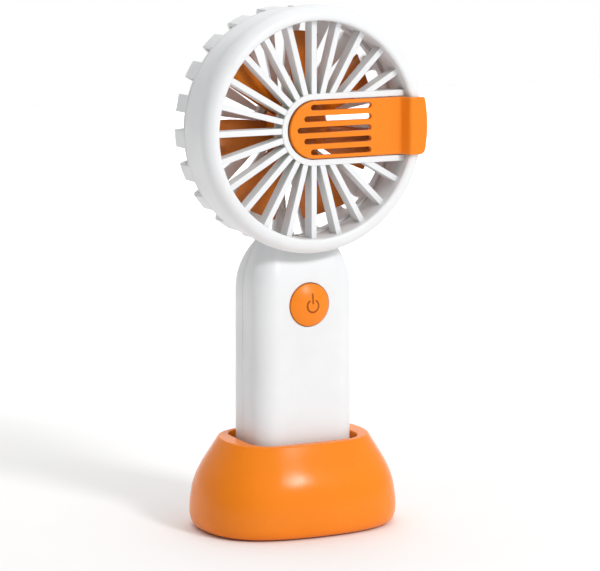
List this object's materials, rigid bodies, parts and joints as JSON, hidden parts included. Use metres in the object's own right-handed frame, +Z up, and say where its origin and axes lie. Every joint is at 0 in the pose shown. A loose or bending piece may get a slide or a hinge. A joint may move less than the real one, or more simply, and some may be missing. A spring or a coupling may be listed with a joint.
{
  "type": "handheld electric fan",
  "caption": "Handheld electric fan with a round grilled head, an orange slotted clip and impeller, a push button, and a weighted base whose socket holds the handle upright.",
  "frame": {"origin": "centre of the base's underside, where it stands", "axes": "+Z up, -Y the way the fan blows, +X to the right for someone looking along +Y"},
  "size_m": [0.0934, 0.06, 0.2007],
  "materials": {
    "base_orange": "semi-gloss moulded plastic",
    "shell_white": "satin moulded plastic",
    "cover_white": "satin moulded plastic",
    "grille_white": "satin moulded plastic",
    "accent_orange": "satin moulded plastic",
    "impeller_orange": "glossy moulded plastic",
    "pad_rubber": "matt",
    "cover_black": "matt moulded plastic",
    "ballast_steel": "plain plate",
    "screw_steel": "zinc plated",
    "motor_steel": "drawn steel",
    "magnet_grey": "bonded magnet",
    "bearing_brass": "sintered",
    "winding_copper": "enamelled wire",
    "board_green": "solder mask",
    "chip_black": "matt",
    "cell_blue": "shrink sleeve",
    "tab_nickel": "nickel strip",
    "lead_grey": "soft insulation"
  },
  "bodies": {
    "base": {"base_shell": "base_orange", "base_cover": "cover_black", "base_pad": "pad_rubber", "base_ballast": "ballast_steel", "base_screws": "screw_steel"},
    "fan_unit": {"front_shell": "shell_white", "rear_shell": "shell_white", "shell_screws": "screw_steel", "front_cover": "cover_white", "rear_grille": "grille_white", "clip_pin": "screw_steel", "clip_spring": "screw_steel", "motor_base": "motor_steel", "motor_bearings": "bearing_brass", "stator_core": "motor_steel", "stator_windings": "winding_copper", "motor_board": "board_green", "tact_switch": "chip_black", "circuit_board": "board_green", "board_chips": "chip_black", "board_screws": "screw_steel", "charge_port": "motor_steel", "battery_cell": "cell_blue", "cell_tabs": "tab_nickel", "motor_leads": "lead_grey"},
    "wheel": {"impeller": "impeller_orange", "motor_shaft": "motor_steel", "rotor_bell": "motor_steel", "rotor_magnet": "magnet_grey"},
    "button": {"power_button": "accent_orange", "switch_stem": "chip_black"},
    "clip": {"clip_arm": "accent_orange"}
  },
  "joints": [
    {"name": "fan_lift", "type": "slide", "parent": "base", "child": "fan_unit", "axis": [0, 0, 1], "range_m": [0, 0.045]},
    {"name": "wheel_spin", "type": "hinge", "parent": "fan_unit", "child": "wheel", "pos_m": [0, 0, 0.154], "axis": [0, -1, 0], "continuous": true},
    {"name": "button_press", "type": "slide", "parent": "fan_unit", "child": "button", "axis": [0, 1, 0], "range_m": [0, 0.001], "stiffness_N_per_m": 400},
    {"name": "clip_open", "type": "hinge", "parent": "fan_unit", "child": "clip", "pos_m": [-0.0086, -0.0144, 0.154], "axis": [0, 0, -1], "range_deg": [0, 12], "stiffness_Nm_per_rad": 0.05}
  ]
}
